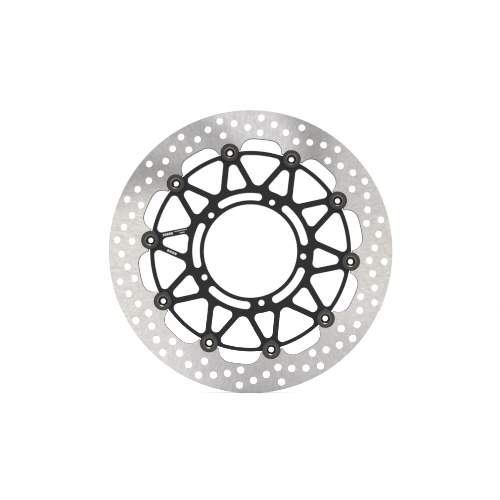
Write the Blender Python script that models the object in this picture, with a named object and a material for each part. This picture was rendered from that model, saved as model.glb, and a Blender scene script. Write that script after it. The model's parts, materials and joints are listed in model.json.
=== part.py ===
"""Floating brake disc rotor.

A drilled steel friction band hangs on a black aluminium carrier by ten bobbins. Each bobbin
sits in two half-moon seats, one in a band lug and one in the carrier rim, and is held from
the back by a flat washer, a wave washer and a circlip.

The disc stands upright. Its axis is Y, its outboard face looks towards -Y, Z is up, and the
origin is on the axis at mid-thickness. Lengths are in metres. Angles run anticlockwise from
+X as seen from the outboard side, and an outline is a list of (x, z) points.
"""

import math

import bmesh
import bpy
from mathutils import Vector

# Overall sizes
DISC_RADIUS = 0.1600
BAND_THICKNESS = 0.0050
CARRIER_THICKNESS = 0.0050
RUNNING_GAP = 0.0003

# Patterns around the axis
PATTERN_START = math.radians(-6.13)
BOBBIN_COUNT = 10
BOLT_COUNT = 5

# Friction band
FRICTION_WIDTH = 0.0327
SCALLOP_FILLET = 0.0130
LUG_HALF_WIDTH = 0.0127
BAND_TO_RIM_GAP = 0.0016

# Drill holes: rows at an even pitch, counted inwards from the outer edge, and the rows that
# are drilled at each of the twelve places of a cycle
DRILL_RADIUS = 0.00395
DRILL_ROWS = 4
DRILL_OUTER_WALL = 0.0043
DRILL_INNER_WALL = 0.0035
DRILL_CYCLE = ((2,), (1,), (0, 3), (2,), (1,), (0, 3), (1,), (2,), (0, 3), (1,), (2,), (0, 3))
DRILL_LEAD = math.radians(7.465)

# Carrier
BOLT_CIRCLE_RADIUS = 0.0600
BORE_INSET = 0.0072
BOLT_HOLE_RADIUS = 0.0034
SLOT_OUTSET = 0.00165
SLOT_WIDTH = 0.00845
SLOT_HALF_SPAN = math.radians(20.1)
HUB_WALL = 0.00555
RIM_WIDTH = 0.0045
RIM_SETBACK = 0.00015
SPOKE_WIDTH = 0.0067
SPOKE_ROOT_OUTSET = 0.0021
SPOKE_CROWN_OUTSET = 0.00935
SEAT_WALL = 0.00635
WINDOW_FILLET = 0.0051
WINDOW_ROOT_FILLET = 0.0072

# Bobbins
BOBBIN_INSET = 0.04625
SHANK_RADIUS = 0.0070
FLANGE_OVERHANG = 0.00345
FLANGE_THICKNESS = 0.0017
BOBBIN_BORE_RADIUS = 0.0030
COUNTERBORE_WIDTH = 0.0018
COUNTERBORE_DEPTH = 0.0035
CHAMFER_WIDTH = 0.0013
CHAMFER_DEPTH = 0.0013
TAIL_LENGTH = 0.0008

# Washers and circlip
WASHER_THICKNESS = 0.0008
WASHER_WIDTH = 0.0026
WAVE_STOCK = 0.0004
WAVE_LIFT = 0.0004
WAVES = 3
CIRCLIP_THICKNESS = 0.0010
CIRCLIP_WIDTH = 0.0020
CIRCLIP_HOLD = 0.0008
CIRCLIP_HALF_MOUTH = math.radians(28)

# Facets
DISC_SIDES = 120
BORE_SIDES = 60
DRILL_SIDES = 10
BOLT_HOLE_SIDES = 12
SEAT_STEPS = 8
RIM_STEPS = 7
FILLET_STEPS = 4
SCALLOP_STEPS = 4
WINDOW_ARC_STEPS = 5
SLOT_STEPS = 8
ROUND_END_STEPS = 6
HUB_ARC_STEPS = 2
BOBBIN_SIDES = 14
WASHER_SIDES = 12
CIRCLIP_STEPS = 10
SHARP_ANGLE = math.radians(35)

# Sizes that follow from the ones above
BOBBIN_PITCH = 2 * math.pi / BOBBIN_COUNT
BOLT_PITCH = 2 * math.pi / BOLT_COUNT
BOBBIN_CIRCLE_RADIUS = DISC_RADIUS - BOBBIN_INSET
SEAT_RADIUS = SHANK_RADIUS + RUNNING_GAP
RIM_OUTER_RADIUS = BOBBIN_CIRCLE_RADIUS - RIM_SETBACK
RIM_INNER_RADIUS = RIM_OUTER_RADIUS - RIM_WIDTH
LUG_INNER_RADIUS = RIM_OUTER_RADIUS + BAND_TO_RIM_GAP
SCALLOP_RADIUS = DISC_RADIUS - FRICTION_WIDTH
DRILL_OUTER_ROW = DISC_RADIUS - DRILL_OUTER_WALL - DRILL_RADIUS
DRILL_INNER_ROW = SCALLOP_RADIUS + DRILL_INNER_WALL + DRILL_RADIUS
DRILL_ROW_PITCH = (DRILL_OUTER_ROW - DRILL_INNER_ROW) / (DRILL_ROWS - 1)
BORE_RADIUS = BOLT_CIRCLE_RADIUS - BORE_INSET
SLOT_RADIUS = BOLT_CIRCLE_RADIUS + SLOT_OUTSET
HUB_OUTER_RADIUS = SLOT_RADIUS + SLOT_WIDTH / 2 + HUB_WALL
FLANGE_RADIUS = SHANK_RADIUS + FLANGE_OVERHANG
GROOVE_RADIUS = SHANK_RADIUS - CIRCLIP_HOLD

# The stack along Y, from the bobbin's flange back to its tail
SEAT_FACE = max(BAND_THICKNESS, CARRIER_THICKNESS) / 2
FLANGE_BACK = -SEAT_FACE - RUNNING_GAP
FLANGE_FRONT = FLANGE_BACK - FLANGE_THICKNESS
WASHER_FRONT = SEAT_FACE + RUNNING_GAP
WAVE_FRONT = WASHER_FRONT + WASHER_THICKNESS + RUNNING_GAP
CIRCLIP_FRONT = WAVE_FRONT + WAVE_STOCK + 2 * WAVE_LIFT + RUNNING_GAP
GROOVE_FRONT = CIRCLIP_FRONT - RUNNING_GAP
GROOVE_BACK = CIRCLIP_FRONT + CIRCLIP_THICKNESS + RUNNING_GAP
TAIL_END = GROOVE_BACK + TAIL_LENGTH


def clear_scene():
    """Remove every object that the opened scene holds."""
    for thing in list(bpy.data.objects):
        bpy.data.objects.remove(thing, do_unlink=True)


def finish(name, colour, roughness, metallic):
    """Return a Principled material with one even colour."""
    material = bpy.data.materials.new(name)
    material.use_nodes = True
    shader = material.node_tree.nodes["Principled BSDF"]
    shader.inputs["Base Color"].default_value = (*colour, 1.0)
    shader.inputs["Roughness"].default_value = roughness
    shader.inputs["Metallic"].default_value = metallic
    return material


def polar(radius, angle):
    """Return the point at a radius and an angle from the axis."""
    return Vector((radius * math.cos(angle), radius * math.sin(angle)))


def arc(centre, radius, start, end, steps):
    """Return the points along an arc, both ends included."""
    return [centre + polar(radius, start + (end - start) * step / steps) for step in range(steps + 1)]


def axis_arc(radius, start, end, steps):
    """Return the points along an arc about the disc's axis."""
    return arc(Vector((0, 0)), radius, start, end, steps)


def circle(centre, radius, sides):
    """Return the closed outline of a round hole or disc."""
    return arc(centre, radius, 0, 2 * math.pi, sides)[:-1]


def mirrored(points):
    """Return an outline's stretch reflected in the mid-line +X, in the reverse order."""
    return [Vector((point.x, -point.y)) for point in reversed(points)]


def turned(points, angle):
    """Return an outline turned about the disc's axis."""
    cosine, sine = math.cos(angle), math.sin(angle)
    return [Vector((p.x * cosine - p.y * sine, p.x * sine + p.y * cosine)) for p in points]


def seat_half_angles(edge_radius):
    """Return where a bobbin seat cuts an edge: the half angle seen from the axis and from the seat."""
    across = edge_radius**2 + BOBBIN_CIRCLE_RADIUS**2 - SEAT_RADIUS**2
    from_axis = math.acos(across / (2 * edge_radius * BOBBIN_CIRCLE_RADIUS))
    corner = polar(edge_radius, from_axis) - Vector((BOBBIN_CIRCLE_RADIUS, 0))
    return from_axis, math.atan2(corner.y, corner.x)


def plate_mesh(name, outlines, front, back):
    """Return a flat plate between two depths; the first outline is its edge, the others are holes."""
    plate = bmesh.new()
    for outline in outlines:
        corners = [plate.verts.new((point.x, front, point.y)) for point in outline]
        for first, second in zip(corners, corners[1:] + corners[:1]):
            plate.edges.new((first, second))
    bmesh.ops.triangle_fill(plate, use_beauty=True, edges=plate.edges[:])
    raised = bmesh.ops.extrude_face_region(plate, geom=plate.faces[:])["geom"]
    raised_corners = [item for item in raised if isinstance(item, bmesh.types.BMVert)]
    bmesh.ops.translate(plate, verts=raised_corners, vec=(0, back - front, 0))
    return mesh_from(plate, name)


def turned_mesh(name, profile, sides):
    """Return a ring: a closed (radius, depth) profile turned about its own Y axis."""
    ring = bmesh.new()
    corners = [ring.verts.new((radius, depth, 0)) for radius, depth in profile]
    edges = [ring.edges.new(pair) for pair in zip(corners, corners[1:] + corners[:1])]
    bmesh.ops.spin(ring, geom=corners + edges, axis=(0, 1, 0), cent=(0, 0, 0),
                   angle=2 * math.pi, steps=sides, use_merge=True)
    return mesh_from(ring, name)


def mesh_from(shape, name):
    """Return a mesh made of a bmesh, with its faces pointing out and its round faces smooth."""
    bmesh.ops.recalc_face_normals(shape, faces=shape.faces[:])
    mesh = bpy.data.meshes.new(name)
    shape.to_mesh(mesh)
    shape.free()
    mesh.shade_smooth()
    mesh.set_sharp_from_angle(angle=SHARP_ANGLE)
    return mesh


def place(name, mesh, parent=None):
    """Put a mesh in the scene as a named object, on a parent if one is given."""
    piece = bpy.data.objects.new(name, mesh)
    bpy.context.scene.collection.objects.link(piece)
    piece.parent = parent
    return piece


def band_lug_outline():
    """Return the band's inner edge for one bobbin pitch, from mid-scallop to mid-scallop."""
    seat_angle, seat_swing = seat_half_angles(LUG_INNER_RADIUS)
    tip_angle = math.asin(LUG_HALF_WIDTH / LUG_INNER_RADIUS)
    tip = polar(LUG_INNER_RADIUS, tip_angle)
    fillet_radius = SCALLOP_RADIUS - SCALLOP_FILLET
    fillet_angle = math.asin((LUG_HALF_WIDTH + SCALLOP_FILLET) / fillet_radius)
    centre = polar(fillet_radius, fillet_angle)
    to_tip = tip - centre
    flank = math.atan2(to_tip.y, to_tip.x) + math.acos(SCALLOP_FILLET / to_tip.length)
    fillet = arc(centre, SCALLOP_FILLET, flank, fillet_angle, FILLET_STEPS)
    crown = axis_arc(SCALLOP_RADIUS, fillet_angle, BOBBIN_PITCH / 2, SCALLOP_STEPS // 2)
    side = [polar(LUG_INNER_RADIUS, seat_angle), tip] + fillet + crown[1:]
    seat = arc(Vector((BOBBIN_CIRCLE_RADIUS, 0)), SEAT_RADIUS, -seat_swing, seat_swing, SEAT_STEPS)
    return mirrored(side[:-1]) + seat[1:-1] + side


def drill_holes():
    """Return the outlines of the drill holes, which follow one cycle of rows around the band."""
    place_count = len(DRILL_CYCLE) * BOLT_COUNT
    outlines = []
    for number in range(place_count):
        angle = PATTERN_START + DRILL_LEAD + number * 2 * math.pi / place_count
        for row in DRILL_CYCLE[number % len(DRILL_CYCLE)]:
            centre = polar(DRILL_OUTER_ROW - row * DRILL_ROW_PITCH, angle)
            outlines.append(circle(centre, DRILL_RADIUS, DRILL_SIDES))
    return outlines


def band_mesh():
    """Return the friction band: a scalloped, drilled ring with ten lugs inside."""
    inner_edge = []
    for number in range(BOBBIN_COUNT):
        inner_edge += turned(band_lug_outline(), PATTERN_START + number * BOBBIN_PITCH)
    outer_edge = circle(Vector((0, 0)), DISC_RADIUS, DISC_SIDES)
    outlines = [outer_edge, inner_edge] + drill_holes()
    return plate_mesh("brake_band", outlines, -BAND_THICKNESS / 2, BAND_THICKNESS / 2)


def spoke_line():
    """Return a spoke's slant to its bobbin's mid-line and its centre line's distance from the axis."""
    root = polar(SLOT_RADIUS + SPOKE_ROOT_OUTSET, BOBBIN_PITCH / 2)
    crown = BOBBIN_CIRCLE_RADIUS + SPOKE_CROWN_OUTSET
    slant = math.atan2(root.y, crown - root.x)
    return slant, crown * math.sin(slant)


def small_window():
    """Return the window between a bobbin's two spokes, about the mid-line +X."""
    slant, distance = spoke_line()
    flank_distance = distance - SPOKE_WIDTH / 2
    flank_normal = math.pi / 2 - slant
    apex = flank_distance / math.sin(slant)
    end = BOBBIN_CIRCLE_RADIUS - SEAT_RADIUS - SEAT_WALL
    end_radius = (apex - end) / (1 / math.sin(slant) - 1)
    outer_end = arc(Vector((end - end_radius, 0)), end_radius, -flank_normal, flank_normal, ROUND_END_STEPS)
    corner_radius = HUB_OUTER_RADIUS + WINDOW_FILLET
    corner_angle = flank_normal - math.acos((flank_distance - WINDOW_FILLET) / corner_radius)
    corner = arc(polar(corner_radius, corner_angle), WINDOW_FILLET,
                 flank_normal, corner_angle + math.pi, FILLET_STEPS)
    hub_arc = axis_arc(HUB_OUTER_RADIUS, corner_angle, -corner_angle, HUB_ARC_STEPS)
    return outer_end + corner + hub_arc[1:-1] + mirrored(corner)


def large_window():
    """Return the window between two bobbins' neighbouring spokes, about the mid-line +X."""
    slant, distance = spoke_line()
    spread = slant + BOBBIN_PITCH / 2
    flank_distance = distance + SPOKE_WIDTH / 2
    flank_normal = spread - math.pi / 2
    corner_radius = RIM_INNER_RADIUS - WINDOW_FILLET
    corner_swing = math.acos((flank_distance + WINDOW_FILLET) / corner_radius)
    corner_angle = flank_normal + corner_swing
    corner = arc(polar(corner_radius, corner_angle), WINDOW_FILLET,
                 corner_angle, flank_normal + math.pi, FILLET_STEPS)
    rim_arc = axis_arc(RIM_INNER_RADIUS, -corner_angle, corner_angle, WINDOW_ARC_STEPS)
    root = Vector(((flank_distance + WINDOW_ROOT_FILLET) / math.sin(spread), 0))
    root_end = arc(root, WINDOW_ROOT_FILLET, spread + math.pi / 2, 3 * math.pi / 2 - spread, FILLET_STEPS)
    return rim_arc[1:-1] + corner + root_end + mirrored(corner)


def slot():
    """Return a hub slot with round ends, about the mid-line +X."""
    half_width = SLOT_WIDTH / 2
    outer_wall = axis_arc(SLOT_RADIUS + half_width, -SLOT_HALF_SPAN, SLOT_HALF_SPAN, SLOT_STEPS)
    inner_wall = axis_arc(SLOT_RADIUS - half_width, SLOT_HALF_SPAN, -SLOT_HALF_SPAN, SLOT_STEPS)
    round_end = arc(polar(SLOT_RADIUS, SLOT_HALF_SPAN), half_width,
                    SLOT_HALF_SPAN, SLOT_HALF_SPAN + math.pi, ROUND_END_STEPS)
    return outer_wall + round_end[1:-1] + inner_wall + mirrored(round_end[1:-1])


def rim_outline():
    """Return the carrier's outer edge for one bobbin pitch: a half-moon seat and the rim after it."""
    seat_angle, seat_swing = seat_half_angles(RIM_OUTER_RADIUS)
    seat = arc(Vector((BOBBIN_CIRCLE_RADIUS, 0)), SEAT_RADIUS, 2 * math.pi - seat_swing, seat_swing,
               SEAT_STEPS)
    rim = axis_arc(RIM_OUTER_RADIUS, seat_angle, BOBBIN_PITCH - seat_angle, RIM_STEPS)
    return seat[:-1] + rim[:-1]


def carrier_mesh():
    """Return the carrier: hub ring, bolt holes, slots, spokes and rim in one flat plate."""
    outer_edge = []
    openings = [circle(Vector((0, 0)), BORE_RADIUS, BORE_SIDES)]
    for number in range(BOBBIN_COUNT):
        bobbin_line = PATTERN_START + number * BOBBIN_PITCH
        outer_edge += turned(rim_outline(), bobbin_line)
        openings.append(turned(small_window(), bobbin_line))
        openings.append(turned(large_window(), bobbin_line + BOBBIN_PITCH / 2))
    for number in range(BOLT_COUNT):
        bolt_line = PATTERN_START + number * BOLT_PITCH
        openings.append(circle(polar(BOLT_CIRCLE_RADIUS, bolt_line), BOLT_HOLE_RADIUS, BOLT_HOLE_SIDES))
        openings.append(turned(slot(), bolt_line + BOLT_PITCH / 2))
    return plate_mesh("carrier", [outer_edge] + openings, -CARRIER_THICKNESS / 2, CARRIER_THICKNESS / 2)


def bobbin_mesh():
    """Return a bobbin: flange with a chamfered counterbore, shank, circlip groove and tail."""
    counterbore_radius = BOBBIN_BORE_RADIUS + COUNTERBORE_WIDTH
    chamfer_radius = counterbore_radius + CHAMFER_WIDTH
    profile = [
        (BOBBIN_BORE_RADIUS, TAIL_END),
        (BOBBIN_BORE_RADIUS, FLANGE_FRONT + COUNTERBORE_DEPTH),
        (counterbore_radius, FLANGE_FRONT + COUNTERBORE_DEPTH),
        (counterbore_radius, FLANGE_FRONT + CHAMFER_DEPTH),
        (chamfer_radius, FLANGE_FRONT),
        (FLANGE_RADIUS, FLANGE_FRONT),
        (FLANGE_RADIUS, FLANGE_BACK),
        (SHANK_RADIUS, FLANGE_BACK),
        (SHANK_RADIUS, GROOVE_FRONT),
        (GROOVE_RADIUS, GROOVE_FRONT),
        (GROOVE_RADIUS, GROOVE_BACK),
        (SHANK_RADIUS, GROOVE_BACK),
        (SHANK_RADIUS, TAIL_END),
    ]
    return turned_mesh("bobbin", profile, BOBBIN_SIDES)


def ring_profile(front, back):
    """Return the section of a washer that slides on a bobbin's shank."""
    inner = SHANK_RADIUS + RUNNING_GAP
    outer = inner + WASHER_WIDTH
    return [(inner, front), (outer, front), (outer, back), (inner, back)]


def flat_washer_mesh():
    """Return the flat washer that bears on the lug and the rim."""
    profile = ring_profile(WASHER_FRONT, WASHER_FRONT + WASHER_THICKNESS)
    return turned_mesh("flat_washer", profile, WASHER_SIDES)


def wave_washer_mesh():
    """Return the wave washer, a thin ring whose depth rises and falls three times a turn."""
    middle = WAVE_FRONT + WAVE_LIFT
    washer = turned_mesh("wave_washer", ring_profile(middle, middle + WAVE_STOCK), WASHER_SIDES)
    for corner in washer.vertices:
        angle = math.atan2(corner.co.z, corner.co.x)
        corner.co.y += WAVE_LIFT * math.cos(WAVES * angle)
    return washer


def circlip_mesh():
    """Return the circlip, an open flat ring that sits in the bobbin's groove."""
    inner = GROOVE_RADIUS + RUNNING_GAP
    outer = inner + CIRCLIP_WIDTH
    start, end = CIRCLIP_HALF_MOUTH, 2 * math.pi - CIRCLIP_HALF_MOUTH
    outline = axis_arc(outer, start, end, CIRCLIP_STEPS) + axis_arc(inner, end, start, CIRCLIP_STEPS)
    return plate_mesh("circlip", [outline], CIRCLIP_FRONT, CIRCLIP_FRONT + CIRCLIP_THICKNESS)


def place_bobbin_sets(meshes):
    """Place one bobbin with its washers and circlip at each lug, on an empty on its own axis."""
    for number in range(BOBBIN_COUNT):
        angle = PATTERN_START + number * BOBBIN_PITCH
        centre = polar(BOBBIN_CIRCLE_RADIUS, angle)
        label = f"{number + 1:02d}"
        axis = place(f"bobbin_axis_{label}", None)
        axis.location = (centre.x, 0, centre.y)
        axis.rotation_euler = (0, -angle, 0)
        for kind, mesh in meshes.items():
            place(f"{kind}_{label}", mesh, axis)


def build():
    """Make every piece of the rotor."""
    clear_scene()
    steel = finish("ground_stainless_steel", (0.56, 0.54, 0.52), 0.34, 1.0)
    black = finish("black_anodised_aluminium", (0.030, 0.031, 0.034), 0.48, 0.6)
    bronze = finish("hard_anodised_bobbin", (0.085, 0.078, 0.070), 0.42, 0.7)
    spring = finish("spring_steel", (0.32, 0.31, 0.30), 0.38, 1.0)

    band = band_mesh()
    band.materials.append(steel)
    place("brake_band", band)

    carrier = carrier_mesh()
    carrier.materials.append(black)
    place("carrier", carrier)

    meshes = {
        "bobbin": bobbin_mesh(),
        "flat_washer": flat_washer_mesh(),
        "wave_washer": wave_washer_mesh(),
        "circlip": circlip_mesh(),
    }
    for kind, mesh in meshes.items():
        mesh.materials.append(bronze if kind == "bobbin" else spring)
    place_bobbin_sets(meshes)


build()
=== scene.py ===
"""Looks of a floating brake disc rotor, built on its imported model.

Every piece is made again at full detail in the place of its plain solid: the ground steel
friction band, the black anodised carrier and, at each of the ten lugs, a turned bobbin with its
flat washer, wave washer and circlip.

The disc stands upright. Its axis is Y, its outboard face looks towards -Y and Z is up. Lengths
are in metres. Angles run anticlockwise from +X as seen from the outboard side, and an outline
is a closed list of (x, z) points.
"""

import json
import logging
import math
from dataclasses import dataclass, field
from enum import Enum
from typing import Any

import bmesh
import bpy
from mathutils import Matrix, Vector


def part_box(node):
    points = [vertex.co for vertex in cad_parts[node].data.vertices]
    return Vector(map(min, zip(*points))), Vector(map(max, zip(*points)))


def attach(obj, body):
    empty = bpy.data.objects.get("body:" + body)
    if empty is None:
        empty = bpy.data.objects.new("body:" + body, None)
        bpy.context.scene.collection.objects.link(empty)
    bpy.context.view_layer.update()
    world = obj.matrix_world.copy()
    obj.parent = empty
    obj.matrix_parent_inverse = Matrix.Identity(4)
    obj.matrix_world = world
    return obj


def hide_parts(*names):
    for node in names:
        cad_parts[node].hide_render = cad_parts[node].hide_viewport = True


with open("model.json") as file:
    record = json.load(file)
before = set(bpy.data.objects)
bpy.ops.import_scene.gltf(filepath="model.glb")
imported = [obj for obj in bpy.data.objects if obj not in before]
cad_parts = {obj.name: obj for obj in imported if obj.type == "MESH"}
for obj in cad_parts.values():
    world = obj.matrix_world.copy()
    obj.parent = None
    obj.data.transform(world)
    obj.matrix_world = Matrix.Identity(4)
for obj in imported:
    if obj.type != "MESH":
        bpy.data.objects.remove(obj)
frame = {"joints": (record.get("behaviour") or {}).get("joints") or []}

Outline = list[Vector]
Profile = list[tuple[float, float]]
Colour = tuple[float, float, float]

log = logging.getLogger("brake_disc")

FULL_TURN = 2 * math.pi
CHORD_SAG = 0.00001
SHARP_ANGLE = math.radians(35)
LARGEST_CUT = 0.4
HOLD_REACH = 1.2
DASH_SHARE = 0.74
MIX_SHARE, MIX_FIRST, MIX_SECOND, MIX_COLOUR = 0, 6, 7, 2


class Zone(Enum):
    """The faces of a cut plate, each with its own finish. The value is the material slot."""

    FACE = 0
    WALL = 1
    RIM = 2
    HOLE = 3


# --- Outlines -----------------------------------------------------------------------------


def polar(radius: float, angle: float) -> Vector:
    """Return the point at a radius and an angle from the axis."""
    return Vector((radius * math.cos(angle), radius * math.sin(angle)))


def arc(centre: Vector, radius: float, start: float, end: float) -> Outline:
    """Sample an arc, both ends included, so finely that its chords stay within the allowed sag."""
    step = 2 * math.acos(1 - CHORD_SAG / radius)
    steps = max(2, math.ceil(abs(end - start) / step))
    return [centre + polar(radius, start + (end - start) * i / steps) for i in range(steps + 1)]


def axis_arc(radius: float, start: float, end: float) -> Outline:
    """Return the points along an arc about the disc's axis."""
    return arc(Vector((0, 0)), radius, start, end)


def circle(centre: Vector, radius: float) -> Outline:
    """Return the closed outline of a round hole or disc."""
    return arc(centre, radius, 0, FULL_TURN)[:-1]


def mirrored(points: Outline) -> Outline:
    """Return a stretch of outline reflected in the mid-line +X, in the reverse order."""
    return [Vector((point.x, -point.y)) for point in reversed(points)]


def turned(points: Outline, angle: float) -> Outline:
    """Return an outline turned about the disc's axis."""
    cosine, sine = math.cos(angle), math.sin(angle)
    return [Vector((p.x * cosine - p.y * sine, p.x * sine + p.y * cosine)) for p in points]


def rounded_corner(before: Vector, corner: Vector, after: Vector, radius: float) -> Outline:
    """Replace a sharp corner by an arc.

    Args:
        before: A point on the straight side that comes in.
        corner: The sharp corner.
        after: A point on the straight side that goes out.
        radius: Radius of the arc.

    Returns:
        The points of the arc, from one side to the other.
    """
    arriving, leaving = (before - corner).normalized(), (after - corner).normalized()
    half = arriving.angle(leaving) / 2
    centre = corner + (arriving + leaving).normalized() * (radius / math.sin(half))
    reach = radius / math.tan(half)
    first, last = corner + arriving * reach - centre, corner + leaving * reach - centre
    start = math.atan2(first.y, first.x)
    sweep = (math.atan2(last.y, last.x) - start + math.pi) % FULL_TURN - math.pi
    return arc(centre, radius, start, start + sweep)


def signed_area(outline: Outline) -> float:
    """Return an outline's area, positive when it runs anticlockwise."""
    following = outline[1:] + outline[:1]
    return sum(a.x * b.y - b.x * a.y for a, b in zip(outline, following)) / 2


def set_in(outline: Outline, distance: float) -> Outline:
    """Move an outline's points to its left by one distance, mitred at the corners."""
    moved = []
    for number, point in enumerate(outline):
        before, after = outline[number - 1], outline[(number + 1) % len(outline)]
        arriving, leaving = (point - before).normalized(), (after - point).normalized()
        first, second = Vector((-arriving.y, arriving.x)), Vector((-leaving.y, leaving.x))
        moved.append(point + (first + second) * (distance / (1 + first.dot(second))))
    return moved


# --- Meshes -------------------------------------------------------------------------------


def mesh_from(
    shape: bmesh.types.BMesh, name: str, crisp: set[bmesh.types.BMEdge]
) -> bpy.types.Mesh:
    """Finish a mesh: faces out, smooth, with its corners and the crisp edges kept sharp."""
    bmesh.ops.recalc_face_normals(shape, faces=shape.faces[:])
    for edge in shape.edges:
        edge.smooth = edge not in crisp and edge.calc_face_angle(0) < SHARP_ANGLE
    for face in shape.faces:
        face.smooth = True
    mesh = bpy.data.meshes.new(name)
    shape.to_mesh(mesh)
    shape.free()
    return mesh


@dataclass(frozen=True)
class Plate:
    """A flat plate with rounded edges, cut along closed outlines.

    Attributes:
        front: Depth of the outboard face.
        back: Depth of the inboard face.
        edge: Radius of the edges' rounding.
        wall_edge: How many times larger the rounding of a WALL outline is.
        edge_steps: Facets across the rounding.
    """

    front: float
    back: float
    edge: float
    wall_edge: float = 1.0
    edge_steps: int = 2

    def levels(self, edge: float) -> list[tuple[float, float]]:
        """Return the (inset, depth) of each ring, from the front face round to the back face."""
        turns = [math.pi / 2 * step / self.edge_steps for step in range(self.edge_steps + 1)]
        insets = [edge * (1 - math.sin(turn)) for turn in turns]
        depths = [edge * (1 - math.cos(turn)) for turn in turns]
        front = [(inset, self.front + depth) for inset, depth in zip(insets, depths)]
        back = [(inset, self.back - depth) for inset, depth in zip(insets, depths)]
        return front + back[::-1]

    def mesh(self, name: str, cuts: list[tuple[Outline, Zone]]) -> bpy.types.Mesh:
        """Build the plate.

        Args:
            name: Name of the mesh.
            cuts: Closed outlines with the zone of their walls; the first is the outer edge.

        Returns:
            A closed mesh with the zones as material slots and an "edge" value on its corners.
        """
        shape = bmesh.new()
        edge_value = shape.verts.layers.float.new("edge")
        face_edges: list[list[bmesh.types.BMEdge]] = [[], []]
        for number, (outline, zone) in enumerate(cuts):
            edge = self.edge * (self.wall_edge if zone is Zone.WALL else 1.0)
            anticlockwise = signed_area(outline) > 0
            path = outline if anticlockwise == (number == 0) else outline[::-1]
            rings = []
            for inset, depth in self.levels(edge):
                ring = [shape.verts.new((p.x, depth, p.y)) for p in set_in(path, inset)]
                for corner in ring:
                    corner[edge_value] = 1.0 - inset / edge
                rings.append(ring)
            for upper, lower in zip(rings, rings[1:]):
                self.join(shape, upper, lower, zone)
            for ring, edges in zip((rings[0], rings[-1]), face_edges):
                edges += [shape.edges.get(pair) for pair in zip(ring, ring[1:] + ring[:1])]
        for edges in face_edges:
            bmesh.ops.triangle_fill(shape, use_beauty=True, edges=edges)
        return mesh_from(shape, name, set(face_edges[0] + face_edges[1]))

    @staticmethod
    def join(shape: bmesh.types.BMesh, upper: list, lower: list, zone: Zone) -> None:
        """Close the strip between two rings of corners."""
        for i in range(len(upper)):
            j = (i + 1) % len(upper)
            face = shape.faces.new((upper[i], upper[j], lower[j], lower[i]))
            face.material_index = zone.value


def softened(profile: Profile, cut: float, steps: int = 3) -> Profile:
    """Round the corners of a closed section, with a close pair of points that holds each one.

    Args:
        profile: Sharp section as (radius, depth) points.
        cut: How much of each side the rounding takes.
        steps: Facets across each rounding.

    Returns:
        The section with round corners.
    """
    points = [Vector(corner) for corner in profile]
    soft = []
    for number, corner in enumerate(points):
        before, after = points[number - 1] - corner, points[(number + 1) % len(points)] - corner
        reach = min(cut, before.length * LARGEST_CUT, after.length * LARGEST_CUT)
        start, end = before.normalized() * reach, after.normalized() * reach
        soft.append(corner + start * HOLD_REACH)
        for step in range(steps + 1):
            share = step / steps
            soft.append(corner + start * (1 - share) ** 2 + end * share**2)
        soft.append(corner + end * HOLD_REACH)
    return [(point.x, point.y) for point in soft]


def revolved(name: str, profile: Profile, sides: int = 96) -> bpy.types.Mesh:
    """Turn a closed (radius, depth) section about its own Y axis."""
    shape = bmesh.new()
    corners = [shape.verts.new((radius, depth, 0)) for radius, depth in profile]
    edges = [shape.edges.new(pair) for pair in zip(corners, corners[1:] + corners[:1])]
    bmesh.ops.spin(shape, geom=corners + edges, axis=(0, 1, 0), cent=(0, 0, 0),
                   angle=FULL_TURN, steps=sides, use_merge=True)
    return mesh_from(shape, name, set())


def place(name: str, mesh: bpy.types.Mesh, body: str, node: str) -> bpy.types.Object:
    """Make a piece that rides on a body in the place of a node and takes its finish from a slot."""
    piece = bpy.data.objects.new(name, mesh)
    bpy.context.scene.collection.objects.link(piece)
    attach(piece, body)
    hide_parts(node)
    log.info("%s: %d faces, on %s", name, len(mesh.polygons), body)
    return piece


# --- Shader effects -----------------------------------------------------------------------


class Graph:
    """A node tree with a short way to add nodes and link them."""

    def __init__(self, tree: bpy.types.NodeTree) -> None:
        """Wrap a node tree."""
        self.tree = tree

    def feed(self, node: bpy.types.Node, inputs: dict[str | int, Any]) -> None:
        """Set a node's inputs, by name or number, to values, or link them to output sockets."""
        for key, value in inputs.items():
            if isinstance(value, bpy.types.NodeSocket):
                self.tree.links.new(value, node.inputs[key])
            else:
                node.inputs[key].default_value = value

    def add(
        self, kind: str, inputs: dict[str | int, Any] | None = None, **settings: Any
    ) -> bpy.types.Node:
        """Add a node by its type, without the ShaderNode prefix, and feed its inputs."""
        node = self.tree.nodes.new("ShaderNode" + kind)
        for key, value in settings.items():
            setattr(node, key, value)
        self.feed(node, inputs or {})
        return node

    def maths(self, operation: str, *values: Any) -> bpy.types.NodeSocket:
        """Add a Math node on numbers or sockets and return its output."""
        return self.add("Math", dict(enumerate(values)), operation=operation).outputs[0]

    def mixed(self, share: Any, first: Any, second: Any, blend: str = "MIX") -> bpy.types.NodeSocket:
        """Mix two colours by a share and return the colour."""
        inputs = {MIX_SHARE: share, MIX_FIRST: first, MIX_SECOND: second}
        return self.add("Mix", inputs, data_type="RGBA", blend_type=blend).outputs[MIX_COLOUR]

    def spread(self, value: Any, low: float, high: float) -> bpy.types.NodeSocket:
        """Map a 0 to 1 value onto a range and return it."""
        node = self.add("MapRange", {"Value": value, "To Min": low, "To Max": high})
        return node.outputs["Result"]


class Effect(Enum):
    """The shader effects that several materials share. The value is the node group's name."""

    GRIND_MARKS = "grind_marks"
    TURNING_RINGS = "turning_rings"
    FINE_GRAIN = "fine_grain"
    EDGE_WEAR = "edge_wear"
    ETCHED_DASHES = "etched_dashes"


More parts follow.
